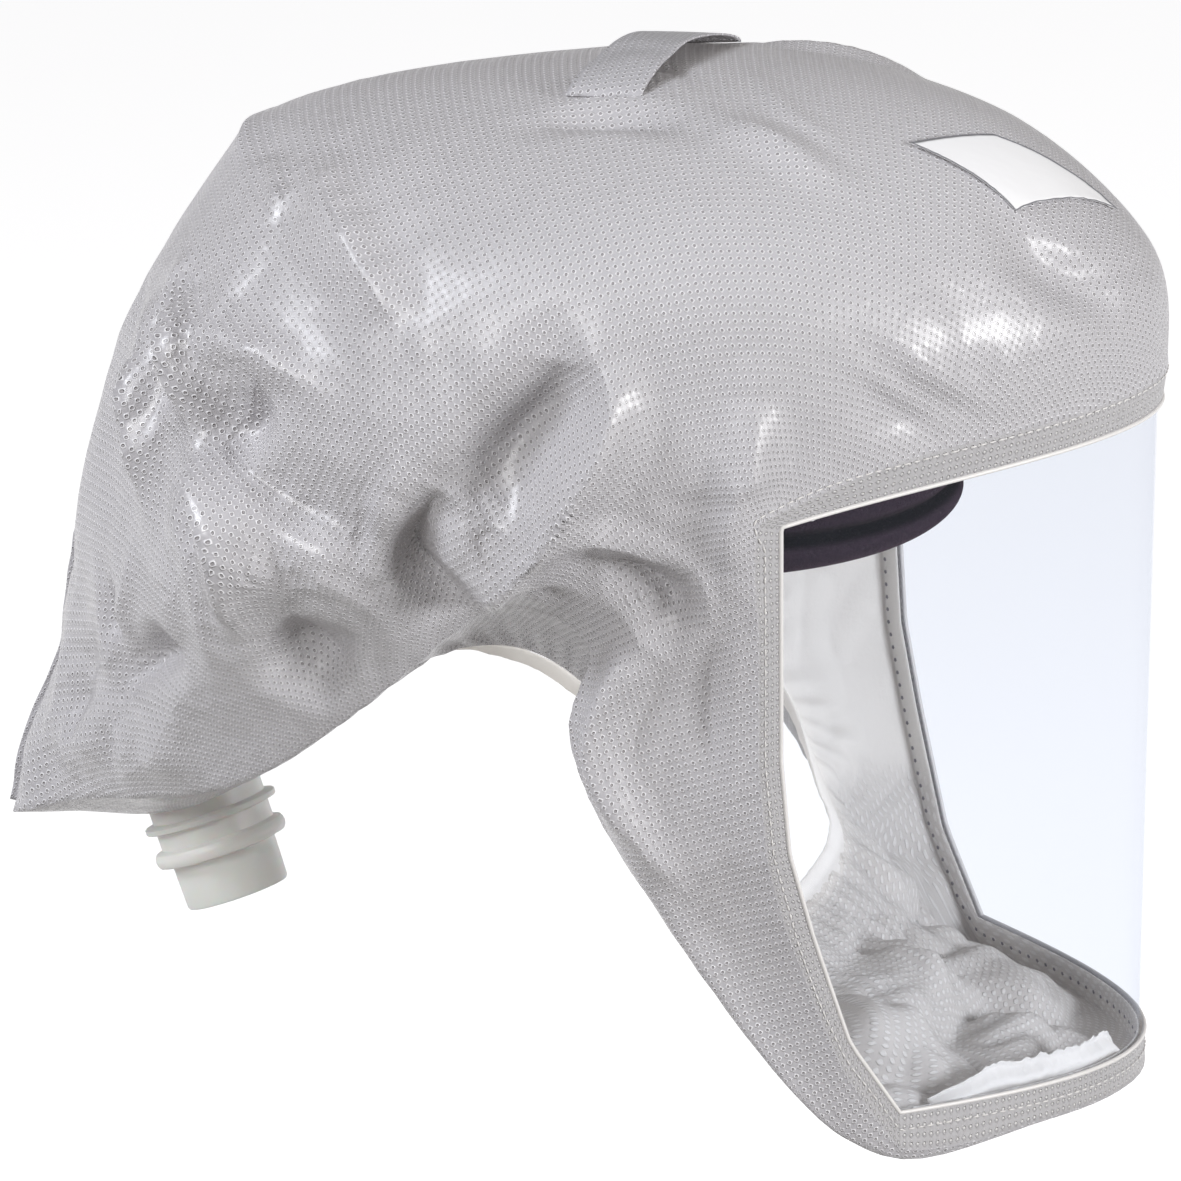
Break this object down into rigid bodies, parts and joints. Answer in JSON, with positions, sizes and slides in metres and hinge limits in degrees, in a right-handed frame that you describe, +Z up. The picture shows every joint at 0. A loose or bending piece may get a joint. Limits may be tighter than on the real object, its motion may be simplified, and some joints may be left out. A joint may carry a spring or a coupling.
{
  "type": "disposable respirator hood",
  "caption": "Light coated fabric hood with a clear bent visor, soft face seal, foam brow pad and an air inlet tube under a tapered tail at the back",
  "frame": {"origin": "The middle of the wearer's head at brow height, inside the headband, where the hood sits on the head", "axes": "+Z is up, the face and the visor look along -Y, the wearer's right side is at -X"},
  "size_m": [0.2426, 0.3614, 0.3262],
  "materials": {
    "coated_nonwoven": "coated nonwoven, embossed with fine dots, glossy on creases",
    "clear_sheet": "clear bent plastic sheet",
    "soft_nonwoven": "soft matt white nonwoven, gathered",
    "brow_foam": "dark flocked foam",
    "band_plastic": "plain moulded plastic",
    "milky_polyethylene": "translucent milky polyethylene, moulded",
    "label_film": "bare white film patch"
  },
  "bodies": {
    "root": {"hood_shell": "coated_nonwoven", "crown_strap": "coated_nonwoven", "back_seam": "coated_nonwoven", "visor": "clear_sheet", "face_seal": "soft_nonwoven", "neck_hem": "soft_nonwoven", "brow_pad": "brow_foam", "headband": "band_plastic", "side_tab_near": "band_plastic", "side_tab_far": "band_plastic", "inlet_tube": "milky_polyethylene", "label_patch": "label_film"}
  },
  "joints": []
}
